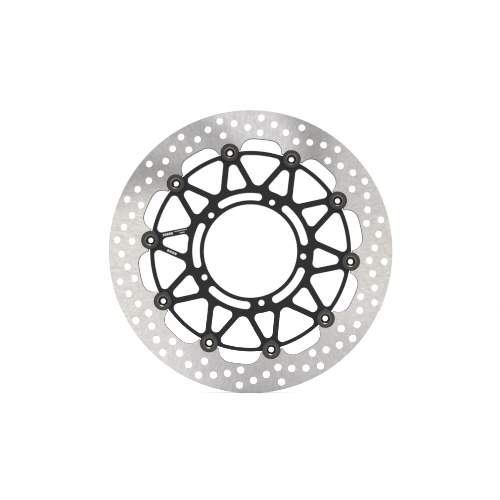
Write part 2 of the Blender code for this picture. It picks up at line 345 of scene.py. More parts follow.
class Effects:
    """Builds each shared effect once and places it in materials."""

    def place(self, graph: Graph, effect: Effect, **inputs: Any) -> bpy.types.Node:
        """Place an effect's node group in a material and feed its inputs, named in lower case."""
        group = bpy.data.node_groups.get(effect.value) or self.build(effect)
        named = {name.title(): value for name, value in inputs.items()}
        return graph.add("Group", named, node_tree=group)

    def build(self, effect: Effect) -> bpy.types.NodeTree:
        """Build an effect's node group."""
        makers = {
            Effect.GRIND_MARKS: self.grind_marks,
            Effect.TURNING_RINGS: self.turning_rings,
            Effect.FINE_GRAIN: self.fine_grain,
            Effect.EDGE_WEAR: self.edge_wear,
            Effect.ETCHED_DASHES: self.etched_dashes,
        }
        return makers[effect](effect.value)

    @staticmethod
    def start(
        name: str, inputs: dict[str, float | None], outputs: tuple[str, ...]
    ) -> tuple[Graph, Any, Any]:
        """Begin a node group.

        Args:
            name: Name of the group.
            inputs: Input name to its default; None makes it a vector.
            outputs: Names of the value outputs.

        Returns:
            The group's graph, its input node's outputs and its output node's inputs.
        """
        tree = bpy.data.node_groups.new(name, "ShaderNodeTree")
        for key, default in inputs.items():
            kind = "NodeSocketVector" if default is None else "NodeSocketFloat"
            socket = tree.interface.new_socket(name=key, in_out="INPUT", socket_type=kind)
            if default is not None:
                socket.default_value = default
        for key in outputs:
            tree.interface.new_socket(name=key, in_out="OUTPUT", socket_type="NodeSocketFloat")
        given = tree.nodes.new("NodeGroupInput").outputs
        wanted = tree.nodes.new("NodeGroupOutput").inputs
        return Graph(tree), given, wanted

    @staticmethod
    def flattened(graph: Graph, vector: Any) -> tuple[Any, Any]:
        """Drop a place's depth and return it with its distance from the Y axis."""
        flat = graph.add("VectorMath", {0: vector, 1: (1.0, 0.0, 1.0)}, operation="MULTIPLY").outputs[0]
        return flat, graph.add("VectorMath", {0: flat}, operation="LENGTH").outputs["Value"]

    def grind_marks(self, name: str) -> bpy.types.NodeTree:
        """Build grinding marks that run outwards, and a turn round the axis that leans as it goes."""
        inputs = {"Vector": None, "Lean": 0.0, "Middle": 0.143, "Fineness": 200.0, "Length": 0.02}
        graph, given, wanted = self.start(name, inputs, ("Marks", "Turn", "Radius"))
        flat, radius = self.flattened(graph, given["Vector"])
        beyond_middle = graph.maths("SUBTRACT", radius, given["Middle"])
        swing = graph.maths("MULTIPLY", beyond_middle, given["Lean"])
        leant = graph.add("VectorRotate", {"Vector": flat, "Axis": (0, 1, 0), "Angle": swing},
                          rotation_type="AXIS_ANGLE").outputs[0]
        outward = graph.add("VectorMath", {0: flat}, operation="NORMALIZE").outputs[0]
        around = graph.add("VectorMath", {0: outward, "Scale": given["Fineness"]}, operation="SCALE")
        along = graph.maths("DIVIDE", radius, given["Length"])
        shift = graph.add("CombineXYZ", {"Y": along}).outputs[0]
        on_mark = graph.add("VectorMath", {0: around.outputs[0], 1: shift}, operation="ADD").outputs[0]
        noise = graph.add("TexNoise", {"Vector": on_mark, "Scale": 1.0, "Detail": 3.0,
                                       "Roughness": 0.6})
        parts = graph.add("SeparateXYZ", {"Vector": leant})
        angle = graph.maths("ARCTAN2", parts.outputs["Z"], parts.outputs["X"])
        turn = graph.maths("FRACT", graph.maths("DIVIDE", angle, FULL_TURN))
        for key, value in (("Marks", noise.outputs["Fac"]), ("Turn", turn), ("Radius", radius)):
            graph.tree.links.new(value, wanted[key])
        return graph.tree

    def turning_rings(self, name: str) -> bpy.types.NodeTree:
        """Build the fine rings that a lathe tool leaves about a piece's own Y axis."""
        inputs = {"Vector": None, "Pitch": 0.0002}
        graph, given, wanted = self.start(name, inputs, ("Rings", "Radius"))
        radius = self.flattened(graph, given["Vector"])[1]
        along = graph.maths("DIVIDE", radius, given["Pitch"])
        noise = graph.add("TexNoise", {"W": along, "Scale": 1.0, "Detail": 2.0}, noise_dimensions="1D")
        graph.tree.links.new(noise.outputs["Fac"], wanted["Rings"])
        graph.tree.links.new(radius, wanted["Radius"])
        return graph.tree

    def fine_grain(self, name: str) -> bpy.types.NodeTree:
        """Build an even grain, as blasting or anodising leaves."""
        inputs = {"Vector": None, "Size": 0.0003}
        graph, given, wanted = self.start(name, inputs, ("Grain",))
        scale = graph.maths("DIVIDE", 1.0, given["Size"])
        noise = graph.add("TexNoise", {"Vector": given["Vector"], "Scale": scale, "Detail": 4.0})
        graph.tree.links.new(noise.outputs["Fac"], wanted["Grain"])
        return graph.tree

    def edge_wear(self, name: str) -> bpy.types.NodeTree:
        """Build a broken mask that follows the rounded edges of a plate: worn edges on the carrier,
        painted shade on the steel.
        """
        inputs = {"Vector": None, "Size": 0.002, "Amount": 0.5}
        graph, given, wanted = self.start(name, inputs, ("Mask",))
        edge = graph.add("Attribute", attribute_name="edge").outputs["Fac"]
        scale = graph.maths("DIVIDE", 1.0, given["Size"])
        noise = graph.add("TexNoise", {"Vector": given["Vector"], "Scale": scale, "Detail": 3.0})
        broken = graph.maths("MULTIPLY", edge, graph.spread(noise.outputs["Fac"], 0.4, 1.0))
        graph.tree.links.new(graph.maths("MULTIPLY", broken, given["Amount"]), wanted["Mask"])
        return graph.tree

    def etched_dashes(self, name: str) -> bpy.types.NodeTree:
        """Build a row of plain dashes along a straight line on the outboard face."""
        inputs = {"Vector": None, "Turn": 0.0, "Line": 0.0, "Start": 0.0, "End": 0.01,
                  "Height": 0.001, "Pitch": 0.002, "Face": 0.0}
        graph, given, wanted = self.start(name, inputs, ("Mask",))
        along_line = graph.add("VectorRotate", {"Vector": given["Vector"], "Axis": (0, 1, 0),
                                                "Angle": given["Turn"]}, rotation_type="AXIS_ANGLE")
        parts = graph.add("SeparateXYZ", {"Vector": along_line.outputs[0]}).outputs
        off_line = graph.maths("ABSOLUTE", graph.maths("SUBTRACT", parts["Z"], given["Line"]))
        past_start = graph.maths("SUBTRACT", parts["X"], given["Start"])
        steps = graph.maths("DIVIDE", past_start, given["Pitch"])
        tests = (
            graph.maths("LESS_THAN", off_line, graph.maths("DIVIDE", given["Height"], 2.0)),
            graph.maths("GREATER_THAN", parts["X"], given["Start"]),
            graph.maths("LESS_THAN", parts["X"], given["End"]),
            graph.maths("LESS_THAN", graph.maths("FRACT", steps), DASH_SHARE),
            graph.maths("LESS_THAN", parts["Y"], given["Face"]),
        )
        mask = tests[0]
        for test in tests[1:]:
            mask = graph.maths("MULTIPLY", mask, test)
        graph.tree.links.new(mask, wanted["Mask"])
        return graph.tree


# --- Finishes -----------------------------------------------------------------------------


def new_material(
    name: str,
) -> tuple[bpy.types.Material, Graph, bpy.types.Node, bpy.types.NodeSocket]:
    """Start a material and return it with its graph, its shader and the object coordinates."""
    material = bpy.data.materials.new(name)
    material.use_nodes = True
    graph = Graph(material.node_tree)
    shader = material.node_tree.nodes["Principled BSDF"]
    coordinates = graph.add("TexCoord").outputs["Object"]
    return material, graph, shader, coordinates


def relief(
    graph: Graph, height: bpy.types.NodeSocket, strength: float, depth: float
) -> bpy.types.NodeSocket:
    """Turn a height into a bumped normal."""
    bump = graph.add("Bump", {"Height": height, "Strength": strength, "Distance": depth})
    return bump.outputs["Normal"]


def fill_ramp(ramp: bpy.types.ColorRamp, stops: list[tuple[float, float]]) -> None:
    """Set a ramp to run smoothly through (position, grey) stops, in rising order."""
    ramp.interpolation = "EASE"
    ramp.elements.remove(ramp.elements[1])
    ramp.elements[0].position = stops[0][0]
    while len(ramp.elements) < len(stops):
        ramp.elements.new(stops[len(ramp.elements)][0])
    for element, (_, grey) in zip(ramp.elements, stops):
        element.color = (grey, grey, grey, 1.0)


@dataclass(frozen=True)
class GroundSteel:
    """Ground stainless steel with painted reflection: its tone runs lighter and darker in soft sectors
    round the disc.

    Attributes:
        painted_reflection_tones: (degrees, reflectance) round the disc, between which the tone runs
            smoothly; these light and dark sectors are painted reflection.
        tint: Colour of a reflectance of one.
        cool_tint: The tint that patches of the face drift to, and that the painted reflection turns to
            towards the top and bottom of the disc.
        lean: Turn of the painted reflection's soft sectors per metre of radius.
        fine_marks: Fineness and length of the fine marks.
        broad_marks: Fineness and length of the broad marks.
        fine_share: Share of the fine marks in the whole.
        mark_depth: Share by which the marks lighten or darken the face.
        roughness: Lowest and highest roughness.
        edge_shade: Share by which the rounded edges are darker.
    """

    # Painted reflection: light and dark sectors of the steel's colour round the disc.
    painted_reflection_tones: tuple[tuple[float, float], ...] = (
        (0, 0.50), (40, 0.45), (60, 0.30), (80, 0.55), (95, 0.55), (110, 0.35), (125, 0.40),
        (140, 0.30), (165, 0.55), (230, 0.50), (270, 0.35), (310, 0.40), (340, 0.50),
    )
    tint: Colour = (1.030, 0.995, 0.945)
    cool_tint: Colour = (1.010, 0.985, 1.0)
    lean: float = 5.0
    fine_marks: tuple[float, float] = (170.0, 0.005)
    broad_marks: tuple[float, float] = (44.0, 0.010)
    fine_share: float = 0.65
    mark_depth: float = 0.50
    roughness: tuple[float, float] = (0.30, 0.44)
    edge_shade: float = 0.35

    def material(self, name: str, effects: Effects, shade: float = 1.0) -> bpy.types.Material:
        """Build the steel.

        Args:
            name: Name of the material.
            effects: The shared effects.
            shade: Share of the tone that this zone keeps.

        Returns:
            The material.
        """
        material, graph, shader, place_on_disc = new_material(name)
        fine, broad = (
            effects.place(graph, Effect.GRIND_MARKS, vector=place_on_disc, lean=self.lean,
                          fineness=fineness, length=length)
            for fineness, length in (self.fine_marks, self.broad_marks)
        )
        # Painted shade: this mask darkens the steel's rounded edges.
        wear_and_shade_mask = effects.place(graph, Effect.EDGE_WEAR, vector=place_on_disc, amount=self.edge_shade)
        # Painted reflection: the base colour runs lighter and darker in soft sectors round the disc.
        ramp = graph.add("ValToRGB", {"Fac": fine.outputs["Turn"]})
        stops = [(degrees / 360, tone * shade) for degrees, tone in self.painted_reflection_tones]
        fill_ramp(ramp.color_ramp, [*stops, (1.0, stops[0][1])])
        drift = graph.add("TexNoise", {"Vector": place_on_disc, "Scale": 26.0, "Detail": 2.0})
        # Painted reflection tint: besides the random patches, the tint runs cooler towards the top and
        # bottom of the disc and warmer at its sides.
        upright = graph.maths("COSINE", graph.maths("MULTIPLY", fine.outputs["Turn"], 2 * FULL_TURN))
        patches = graph.spread(drift.outputs["Fac"], 0.0, 0.9)
        coolness = graph.maths("SUBTRACT", patches, graph.maths("MULTIPLY", upright, 0.35))
        tinted = graph.mixed(coolness, (*self.tint, 1), (*self.cool_tint, 1))
        toned = graph.mixed(1.0, ramp.outputs["Color"], tinted, "MULTIPLY")
        fine_part = graph.maths("MULTIPLY", fine.outputs["Marks"], self.fine_share)
        broad_part = graph.maths("MULTIPLY", broad.outputs["Marks"], 1 - self.fine_share)
        marks = graph.maths("ADD", fine_part, broad_part)
        contrast = graph.spread(marks, 1 - self.mark_depth, 1 + self.mark_depth)
        shaded = graph.maths("MULTIPLY", contrast, graph.maths("SUBTRACT", 1.0, wear_and_shade_mask.outputs["Mask"]))
        grey = graph.add("CombineColor", {0: shaded, 1: shaded, 2: shaded}).outputs[0]
        graph.feed(shader, {
            "Base Color": graph.mixed(1.0, toned, grey, "MULTIPLY"),
            "Metallic": 1.0,
            "Roughness": graph.spread(marks, *self.roughness),
            "Normal": relief(graph, fine.outputs["Marks"], 0.25, 0.00005),
        })
        return material


@dataclass(frozen=True)
class CutSteel:
    """The dull wall that cutting leaves on steel.

    Attributes:
        colour: Colour of the wall.
        grain: Size of its roughness.
        contrast: How much lighter its high spots are.
        roughness: Lowest and highest roughness.
    """

    colour: Colour
    grain: float = 0.0004
    contrast: float = 1.5
    roughness: tuple[float, float] = (0.42, 0.62)

    def material(self, name: str, effects: Effects) -> bpy.types.Material:
        """Build the cut wall."""
        material, graph, shader, place_on_disc = new_material(name)
        grain = effects.place(graph, Effect.FINE_GRAIN, vector=place_on_disc, size=self.grain)
        light = tuple(value * self.contrast for value in self.colour)
        graph.feed(shader, {
            "Base Color": graph.mixed(grain.outputs["Grain"], (*self.colour, 1), (*light, 1)),
            "Metallic": 1.0,
            "Roughness": graph.spread(grain.outputs["Grain"], *self.roughness),
            "Normal": relief(graph, grain.outputs["Grain"], 0.4, 0.0001),
        })
        return material


@dataclass(frozen=True)
class BlackAnodised:
    """Satin black anodised aluminium, as on the carrier.

    Attributes:
        colour: The dye's colour.
        worn: The colour at the rounded edges.
        etched: The colour of etched dashes.
        grain: Size of the blasted grain.
        contrast: How much lighter the grain's high spots are.
        patch: Size of the patches in its sheen.
        roughness: Lowest and highest roughness.
        sheen: Strength of its clear reflection.
    """

    colour: Colour = (0.0088, 0.0092, 0.0106)
    worn: Colour = (0.030, 0.030, 0.034)
    etched: Colour = (0.42, 0.42, 0.43)
    grain: float = 0.00035
    contrast: float = 1.7
    patch: float = 0.02
    roughness: tuple[float, float] = (0.38, 0.58)
    sheen: float = 0.13

    def material(self, name: str, effects: Effects, rows: list[dict[str, float]]) -> bpy.types.Material:
        """Build the black finish.

        Args:
            name: Name of the material.
            effects: The shared effects.
            rows: Inputs of each row of etched dashes.

        Returns:
            The material.
        """
        material, graph, shader, place_on_disc = new_material(name)
        grain = effects.place(graph, Effect.FINE_GRAIN, vector=place_on_disc, size=self.grain)
        patches = effects.place(graph, Effect.FINE_GRAIN, vector=place_on_disc, size=self.patch)
        wear_and_shade_mask = effects.place(graph, Effect.EDGE_WEAR, vector=place_on_disc, amount=0.25)
        light = tuple(value * self.contrast for value in self.colour)
        speckled = graph.mixed(grain.outputs["Grain"], (*self.colour, 1), (*light, 1))
        etching = 0.0
        for row in rows:
            dashes = effects.place(graph, Effect.ETCHED_DASHES, vector=place_on_disc, **row)
            etching = graph.maths("MAXIMUM", etching, dashes.outputs["Mask"])
        black = graph.mixed(wear_and_shade_mask.outputs["Mask"], speckled, (*self.worn, 1))
        graph.feed(shader, {
            "Base Color": graph.mixed(etching, black, (*self.etched, 1)),
            "Roughness": graph.spread(patches.outputs["Grain"], *self.roughness),
            "Specular IOR Level": self.sheen,
            "Normal": relief(graph, grain.outputs["Grain"], 0.35, 0.00006),
        })
        return material


@dataclass(frozen=True)
class TurnedMetal:
    """A turned metal finish with fine rings about the piece's own axis.

    Attributes:
        colour: The metal's colour between the rings.
        roughness: Lowest and highest roughness.
        ring_pitch: Distance between the tool's rings.
        contrast: How much lighter the rings are.
        tone_and_painted_light: (radius, share of the colour) from the middle out, between which it runs
            smoothly; besides the tone, the shares paint light and shade into the colour.
    """

    colour: Colour
    roughness: tuple[float, float]
    ring_pitch: float = 0.00022
    contrast: float = 1.5
    tone_and_painted_light: tuple[tuple[float, float], ...] = ((0.0, 1.0),)

    def material(self, name: str, effects: Effects) -> bpy.types.Material:
        """Build the turned finish."""
        material, graph, shader, place_on_piece = new_material(name)
        rings = effects.place(graph, Effect.TURNING_RINGS, vector=place_on_piece,
                              pitch=self.ring_pitch)
        grain = effects.place(graph, Effect.FINE_GRAIN, vector=place_on_piece, size=0.0006)
        light = tuple(value * self.contrast for value in self.colour)
        breaks = graph.spread(grain.outputs["Grain"], 0.5, 1.5)
        mask = graph.maths("MULTIPLY", rings.outputs["Rings"], breaks)
        outermost = self.tone_and_painted_light[-1][0] or 1.0
        strongest = max(share for _, share in self.tone_and_painted_light)
        outward = graph.maths("DIVIDE", rings.outputs["Radius"], outermost)
        # This ramp paints light and shade into the colour by radius, along with the tone.
        ramp = graph.add("ValToRGB", {"Fac": outward})
        stops = [(radius / outermost, share / strongest) for radius, share in self.tone_and_painted_light]
        fill_ramp(ramp.color_ramp, stops)
        full = (strongest, strongest, strongest, 1)
        shade = graph.mixed(1.0, ramp.outputs["Color"], full, "MULTIPLY")
        ringed = graph.mixed(mask, (*self.colour, 1), (*light, 1))
        graph.feed(shader, {
            "Base Color": graph.mixed(1.0, ringed, shade, "MULTIPLY"),
            "Metallic": 1.0,
            "Roughness": graph.spread(rings.outputs["Rings"], *self.roughness),
            "Normal": relief(graph, rings.outputs["Rings"], 0.3, 0.00004),
        })
        return material


@dataclass(frozen=True)
class PaleFloor:
    """The plain pale floor of the studio."""

    colour: Colour = (0.715, 0.715, 0.715)

    def material(self, name: str) -> bpy.types.Material:
        """Build the floor's finish."""
        material, graph, shader, place_on_floor = new_material(name)
        noise = graph.add("TexNoise", {"Vector": place_on_floor, "Scale": 4.0, "Detail": 2.0})
        light = tuple(value * 1.02 for value in self.colour)
        graph.feed(shader, {
            "Base Color": graph.mixed(noise.outputs["Fac"], (*self.colour, 1), (*light, 1)),
            "Roughness": 0.9,
            "Specular IOR Level": 0.1,
        })
        return material


# --- The disc -----------------------------------------------------------------------------


@dataclass(frozen=True)
class Layout:
    """Sizes that every piece shares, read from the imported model.

    Attributes:
        disc_radius: Outer radius of the friction band.
        band_half: Half the band's thickness.
        carrier_half: Half the carrier's thickness.
        bobbin_radius: Radius of the circle that the bobbins lie on.
        bobbin_angles: Angle of each bobbin, in the order of their numbers.
        seat_radius: Radius of the half-moon seats.
    """

    disc_radius: float
    band_half: float
    carrier_half: float
    bobbin_radius: float
    bobbin_angles: tuple[float, ...]
    seat_radius: float = 0.0073

    @classmethod
    def from_frame(cls) -> "Layout":
        """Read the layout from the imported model's boxes and joints."""
        band_low, band_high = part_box("brake_band")
        carrier_low, carrier_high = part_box("carrier")
        centres = [joint["pos_m"] for joint in frame["joints"] if joint["type"] == "hinge"]
        return cls(
            disc_radius=(band_high.x - band_low.x) / 2,
            band_half=(band_high.y - band_low.y) / 2,
            carrier_half=(carrier_high.y - carrier_low.y) / 2,
            bobbin_radius=math.hypot(centres[0][0], centres[0][2]),
            bobbin_angles=tuple(math.atan2(centre[2], centre[0]) for centre in centres),
        )

    @property
    def pitch(self) -> float:
        """Angle from one bobbin to the next."""
        return FULL_TURN / len(self.bobbin_angles)

    def seat_half_angles(self, edge_radius: float) -> tuple[float, float]:
        """Return where a seat cuts an edge: the half angle at the axis and at the seat's centre."""
        across = edge_radius**2 + self.bobbin_radius**2 - self.seat_radius**2
        from_axis = math.acos(across / (2 * edge_radius * self.bobbin_radius))
        corner = polar(edge_radius, from_axis) - Vector((self.bobbin_radius, 0))
        return from_axis, math.atan2(corner.y, corner.x)


@dataclass
class FrictionBand:
    """The ground, drilled and scalloped steel ring with its ten lugs.

    Attributes:
        layout: Sizes shared with the other pieces.
        friction_width: Radial width of the ring outside the scallops.
        scallop_fillet: Corner radius of the scallops.
        lug_half_width: Half width of a lug.
        lug_inset: Radius of the lugs' tips beyond the bobbins' circle.
        tip_round: Rounding of a lug's corners.
        drill_radius: Radius of the drill holes.
        drill_rows: Number of rows of drill holes.
        outer_wall: Steel between the outer row and the edge.
        inner_wall: Steel between the inner row and the scallops.
        drill_cycle: The rows that are drilled at each place of a cycle.
        drill_lead: Angle from a bobbin to the cycle's first place.
        cycles: Number of cycles round the band.
        edge: Rounding of the edges.
        wall_edge: How many times larger it is along the scallops and lugs.
    """

    layout: Layout
    friction_width: float = 0.0327
    scallop_fillet: float = 0.0130
    lug_half_width: float = 0.0127
    lug_inset: float = 0.00145
    tip_round: float = 0.0006
    drill_radius: float = 0.00395
    drill_rows: int = 4
    outer_wall: float = 0.0043
    inner_wall: float = 0.0035
    drill_cycle: tuple[tuple[int, ...], ...] = (
        (2,), (1,), (0, 3), (2,), (1,), (0, 3), (1,), (2,), (0, 3), (1,), (2,), (0, 3),
    )
    drill_lead: float = math.radians(7.465)
    cycles: int = 5
    edge: float = 0.00022
    wall_edge: float = 2.0

    def lug_outline(self) -> Outline:
        """Return the inner edge for one bobbin, from mid-scallop to mid-scallop, about +X."""
        tip_radius = self.layout.bobbin_radius + self.lug_inset
        seat_angle, seat_swing = self.layout.seat_half_angles(tip_radius)
        mouth = polar(tip_radius, seat_angle)
        tip = polar(tip_radius, math.asin(self.lug_half_width / tip_radius))
        scallop_radius = self.layout.disc_radius - self.friction_width
        fillet_radius = scallop_radius - self.scallop_fillet
        fillet_angle = math.asin((self.lug_half_width + self.scallop_fillet) / fillet_radius)
        centre = polar(fillet_radius, fillet_angle)
        to_tip = tip - centre
        flank = math.atan2(to_tip.y, to_tip.x) + math.acos(self.scallop_fillet / to_tip.length)
        fillet = arc(centre, self.scallop_fillet, flank, fillet_angle)
        crown = axis_arc(scallop_radius, fillet_angle, self.layout.pitch / 2)
        side = [mouth] + rounded_corner(mouth, tip, fillet[0], self.tip_round) + fillet + crown[1:]
        seat_centre = Vector((self.layout.bobbin_radius, 0))
        seat = arc(seat_centre, self.layout.seat_radius, -seat_swing, seat_swing)
        return mirrored(side[:-1]) + seat[1:-1] + side

    def drill_outlines(self) -> list[Outline]:
        """Return the drill holes, which follow one cycle of rows round the band."""
        outer_row = self.layout.disc_radius - self.outer_wall - self.drill_radius
        inner_row = self.layout.disc_radius - self.friction_width + self.inner_wall + self.drill_radius
        row_pitch = (outer_row - inner_row) / (self.drill_rows - 1)
        places = len(self.drill_cycle) * self.cycles
        outlines = []
        for number in range(places):
            angle = self.layout.bobbin_angles[0] + self.drill_lead + number * FULL_TURN / places
            for row in self.drill_cycle[number % len(self.drill_cycle)]:
                centre = polar(outer_row - row * row_pitch, angle)
                outlines.append(circle(centre, self.drill_radius))
        return outlines

    def build(self) -> bpy.types.Object:
        """Build the band in place of its plain solid."""
        lug = self.lug_outline()
        inner = [point for angle in self.layout.bobbin_angles for point in turned(lug, angle)]
        outer = circle(Vector((0, 0)), self.layout.disc_radius)
        cuts = [(outer, Zone.RIM), (inner, Zone.WALL)]
        cuts += [(outline, Zone.HOLE) for outline in self.drill_outlines()]
        plate = Plate(-self.layout.band_half, self.layout.band_half, self.edge, self.wall_edge)
        mesh = plate.mesh("friction_band", cuts)
        return place("friction_band", mesh, "friction_band", "brake_band")

    def dress(self, piece: bpy.types.Object, effects: Effects) -> None:
        """Give the faces, the cut walls, the rim and the drill holes their steel, with painted
        reflection on the faces and drill holes and painted shade on the cut walls.
        """
        ground = GroundSteel()
        # Painted shade: the cut walls along the scallops, lugs and seats are coloured nearly black for
        # the shade along them; their dull, grainy finish is real.
        dull, turned_rim = CutSteel((0.045, 0.043, 0.041)), CutSteel((0.21, 0.206, 0.20))
        materials = {
            Zone.FACE: ground.material("ground_steel_face", effects),
            Zone.WALL: dull.material("cut_steel_wall_painted_shade", effects),
            Zone.RIM: turned_rim.material("turned_steel_rim", effects),
            Zone.HOLE: ground.material("drilled_steel_wall", effects, shade=1.1),
        }
        for zone in Zone:
            piece.data.materials.append(materials[zone])


@dataclass(frozen=True)
class EtchedRow:
    """A row of plain dashes etched along one of a bobbin's two spokes.

    Attributes:
        side: Which spoke: 1 is the clockwise one and -1 the other.
        offset: Distance from the spoke's middle line.
        start: Where the row starts along the spoke's line.
        end: Where it ends.
        height: Height of a dash.
        pitch: Distance from one dash to the next.
    """

    side: int
    offset: float
    start: float
    end: float
    height: float
    pitch: float


@dataclass
class Carrier:
    """The black carrier: hub ring with bolt holes and slots, slanted spokes and a thin rim.

    Attributes:
        layout: Sizes shared with the other pieces.
        bolt_circle: Radius of the bolt holes' circle.
        bolt_radius: Radius of a bolt hole.
        bolts: Number of bolt holes and of slots.
        bore_inset: From the bolts' circle in to the bore.
        slot_outset: From the bolts' circle out to the slots' middle.
        slot_width: Width of a slot.
        slot_half_span: Half the angle between the centres of a slot's round ends.
        hub_wall: Metal outside the slots.
        rim_width: Radial width of the rim.
        rim_setback: From the bobbins' circle in to the rim's outer edge.
        spoke_width: Width of a spoke.
        root_outset: From the slots' middle out to where neighbouring spokes' lines meet.
        crown_outset: From the bobbins' circle out to where a bobbin's two spokes' lines meet.
        seat_wall: Metal between a seat and the window under it.
        fillet: Corner radius of the windows.
        root_fillet: Radius of a large window's inner end.
        edge: Rounding of the edges.
        etched_bobbin: Number of the bobbin whose two spokes carry etched dashes.
        etched: The rows of dashes.
    """

    layout: Layout
    bolt_circle: float = 0.0600
    bolt_radius: float = 0.0034
    bolts: int = 5
    bore_inset: float = 0.0072
    slot_outset: float = 0.00165
    slot_width: float = 0.00845
    slot_half_span: float = math.radians(20.1)
    hub_wall: float = 0.00555
    rim_width: float = 0.0045
    rim_setback: float = 0.00015
    spoke_width: float = 0.0067
    root_outset: float = 0.0021
    crown_outset: float = 0.00935
    seat_wall: float = 0.00635
    fillet: float = 0.0051
    root_fillet: float = 0.0072
    edge: float = 0.00022
    etched_bobbin: int = 6
    etched: tuple[EtchedRow, ...] = (
        EtchedRow(1, 0.0, 0.0823, 0.0941, 0.0026, 0.0024),
        EtchedRow(1, -0.0013, 0.0660, 0.0800, 0.0010, 0.0015),
        EtchedRow(1, 0.0013, 0.0690, 0.0745, 0.0010, 0.0015),
        EtchedRow(-1, 0.0, 0.0752, 0.0872, 0.0024, 0.0030),
    )

    @property
    def slot_radius(self) -> float:
        """Radius of the slots' middle line."""
        return self.bolt_circle + self.slot_outset

    @property
    def rim_outer(self) -> float:
        """Outer radius of the rim."""
        return self.layout.bobbin_radius - self.rim_setback

    def spoke_line(self) -> tuple[float, float]:
        """Return a spoke's slant to its bobbin's mid-line and its line's distance from the axis."""
        root = polar(self.slot_radius + self.root_outset, self.layout.pitch / 2)
        crown = self.layout.bobbin_radius + self.crown_outset
        slant = math.atan2(root.y, crown - root.x)
        return slant, crown * math.sin(slant)

    def small_window(self) -> Outline:
        """Return the window between a bobbin's two spokes, about +X."""
        slant, distance = self.spoke_line()
        flank_distance = distance - self.spoke_width / 2
        flank_normal = math.pi / 2 - slant
        apex = flank_distance / math.sin(slant)
        end = self.layout.bobbin_radius - self.layout.seat_radius - self.seat_wall
        end_radius = (apex - end) / (1 / math.sin(slant) - 1)
        outer_end = arc(Vector((end - end_radius, 0)), end_radius, -flank_normal, flank_normal)
        hub_radius = self.slot_radius + self.slot_width / 2 + self.hub_wall
        corner_radius = hub_radius + self.fillet
        corner_angle = flank_normal - math.acos((flank_distance - self.fillet) / corner_radius)
        corner_centre = polar(corner_radius, corner_angle)
        corner = arc(corner_centre, self.fillet, flank_normal, corner_angle + math.pi)
        hub_arc = axis_arc(hub_radius, corner_angle, -corner_angle)
        return outer_end + corner + hub_arc[1:-1] + mirrored(corner)

    def large_window(self) -> Outline:
        """Return the window between two bobbins' neighbouring spokes, about +X."""
        slant, distance = self.spoke_line()
        spread = slant + self.layout.pitch / 2
        flank_distance = distance + self.spoke_width / 2
        flank_normal = spread - math.pi / 2
        rim_inner = self.rim_outer - self.rim_width
        corner_radius = rim_inner - self.fillet
        corner_angle = flank_normal + math.acos((flank_distance + self.fillet) / corner_radius)
        corner_centre = polar(corner_radius, corner_angle)
        corner = arc(corner_centre, self.fillet, corner_angle, flank_normal + math.pi)
        rim_arc = axis_arc(rim_inner, -corner_angle, corner_angle)
        root = Vector(((flank_distance + self.root_fillet) / math.sin(spread), 0))
        root_end = arc(root, self.root_fillet, spread + math.pi / 2, 3 * math.pi / 2 - spread)
        return rim_arc[1:-1] + corner + root_end + mirrored(corner)

    def slot(self) -> Outline:
        """Return a hub slot with round ends, about +X."""
        half_width, span = self.slot_width / 2, self.slot_half_span
        outer_wall = axis_arc(self.slot_radius + half_width, -span, span)
        inner_wall = axis_arc(self.slot_radius - half_width, span, -span)
        round_end = arc(polar(self.slot_radius, span), half_width, span, span + math.pi)[1:-1]
        return outer_wall + round_end + inner_wall + mirrored(round_end)

    def rim_outline(self) -> Outline:
        """Return the outer edge for one bobbin: a half-moon seat and the rim after it."""
        seat_angle, seat_swing = self.layout.seat_half_angles(self.rim_outer)
        seat = arc(Vector((self.layout.bobbin_radius, 0)), self.layout.seat_radius,
                   FULL_TURN - seat_swing, seat_swing)
        rim = axis_arc(self.rim_outer, seat_angle, self.layout.pitch - seat_angle)
        return seat[:-1] + rim[:-1]

    def build(self) -> bpy.types.Object:
        """Build the carrier in place of its plain solid."""
        angles = self.layout.bobbin_angles
        rim = self.rim_outline()
        outer = [point for angle in angles for point in turned(rim, angle)]
        openings = [circle(Vector((0, 0)), self.bolt_circle - self.bore_inset)]
        for angle in angles:
            openings.append(turned(self.small_window(), angle))
            openings.append(turned(self.large_window(), angle + self.layout.pitch / 2))
        bolt_pitch = FULL_TURN / self.bolts
        for number in range(self.bolts):
            bolt_line = angles[0] + number * bolt_pitch
            openings.append(circle(polar(self.bolt_circle, bolt_line), self.bolt_radius))
            openings.append(turned(self.slot(), bolt_line + bolt_pitch / 2))
        cuts = [(outer, Zone.FACE)] + [(outline, Zone.FACE) for outline in openings]
        plate = Plate(-self.layout.carrier_half, self.layout.carrier_half, self.edge)
        mesh = plate.mesh("spoked_carrier", cuts)
        return place("spoked_carrier", mesh, "carrier", "carrier")

    def etched_rows(self) -> list[dict[str, float]]:
        """Return the inputs of each row of dashes etched on the two spokes of one bobbin."""
        slant, distance = self.spoke_line()
        angle = self.layout.bobbin_angles[self.etched_bobbin - 1]
        face = -self.layout.carrier_half + self.edge / 4
        return [
            {"turn": angle + row.side * slant, "line": row.offset - row.side * distance, "face": face,
             "start": row.start, "end": row.end, "height": row.height, "pitch": row.pitch}
            for row in self.etched
        ]

    def dress(self, piece: bpy.types.Object, effects: Effects) -> None:
        """Give the carrier its black finish and its etched dashes."""
        finish = BlackAnodised().material("black_anodised", effects, self.etched_rows())
        piece.data.materials.append(finish)


